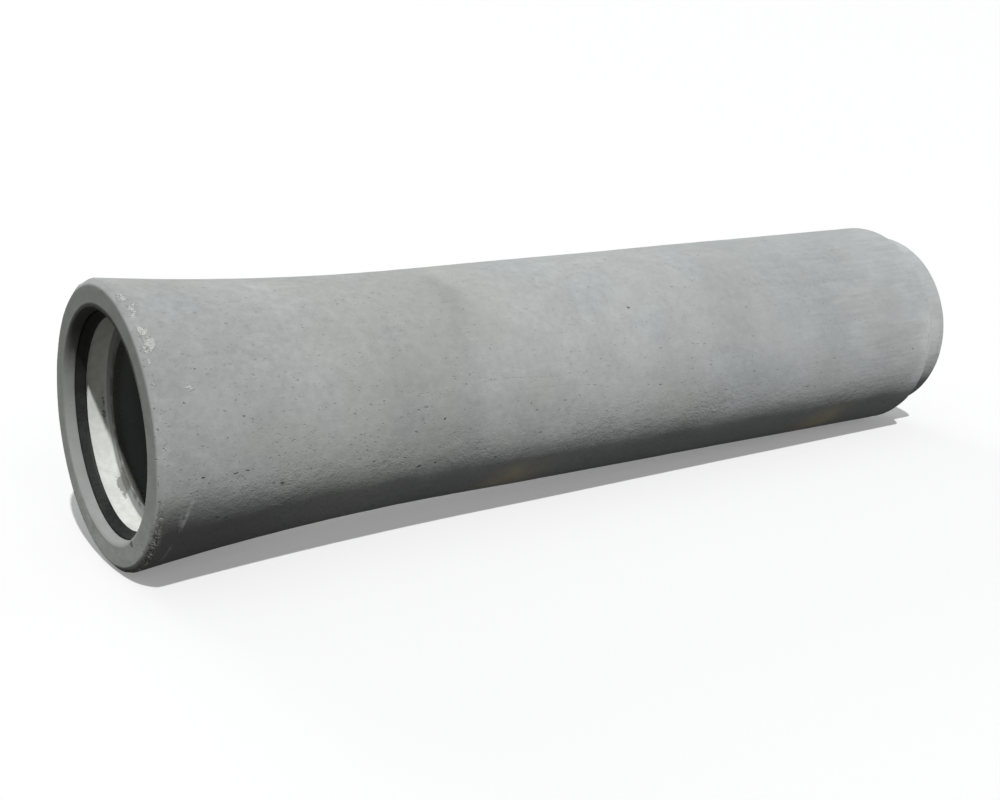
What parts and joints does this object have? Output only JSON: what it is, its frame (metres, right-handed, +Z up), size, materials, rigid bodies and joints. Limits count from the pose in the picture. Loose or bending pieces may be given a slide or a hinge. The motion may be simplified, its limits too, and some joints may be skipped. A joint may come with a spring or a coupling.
{
  "type": "concrete sewer pipe",
  "caption": "Concrete sewer pipe lying on its side, with a flared socket, a rubber seal ring in the socket's mouth and a stepped spigot.",
  "frame": {"origin": "on the floor under the middle of the lying pipe: the centre of the bounding box's underside", "axes": "+X from the socket to the spigot; the pipe's axis dips 1.03 degrees below +X, because the pipe rests on its rim and its barrel's end; +Z up"},
  "size_m": [2.6073, 0.6992, 0.6991],
  "materials": {
    "concrete": "matt cast concrete, grey, with fine pits, scuffs and chipped edges",
    "seal_rubber": "dusty black rubber"
  },
  "bodies": {
    "root": {"pipe": "concrete", "seal_ring": "seal_rubber"}
  },
  "joints": []
}
